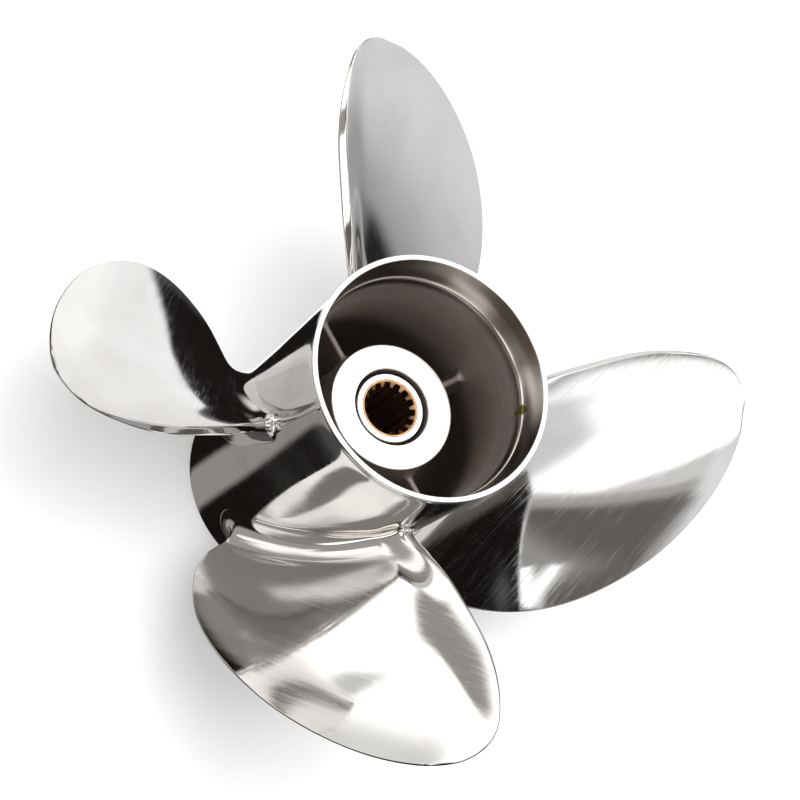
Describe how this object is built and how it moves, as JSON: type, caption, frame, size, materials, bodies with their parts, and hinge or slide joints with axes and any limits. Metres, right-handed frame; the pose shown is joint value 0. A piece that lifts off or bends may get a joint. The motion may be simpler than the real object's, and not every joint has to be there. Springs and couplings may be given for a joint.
{
  "type": "outboard boat propeller",
  "caption": "Polished stainless boat propeller with broad raked blades on a through-hub exhaust barrel, and a splined brass drive sleeve in rubber.",
  "frame": {"origin": "centre of the barrel's front face, the end that meets the gearcase and that the propeller stands on", "axes": "+Z along the shaft axis, pointing aft out of the flared rim; +X and +Y each point midway between two ribs"},
  "size_m": [0.3456, 0.3456, 0.166],
  "materials": {
    "polished_steel": "mirror-polished stainless casting",
    "satin_steel": "satin, lightly blasted stainless casting",
    "sleeve_steel": "fine-turned steel",
    "brass": "broached, slightly tarnished",
    "rubber": "matt black, pressed in"
  },
  "bodies": {
    "root": {"barrel": "polished_steel", "blade_1": "polished_steel", "blade_2": "polished_steel", "blade_3": "polished_steel", "blade_4": "polished_steel", "inner_hub": "satin_steel", "rib_1": "satin_steel", "rib_2": "satin_steel", "rib_3": "satin_steel", "rib_4": "satin_steel", "rubber_bushing": "rubber", "sleeve_ring": "sleeve_steel", "spline_sleeve": "brass"}
  },
  "joints": []
}
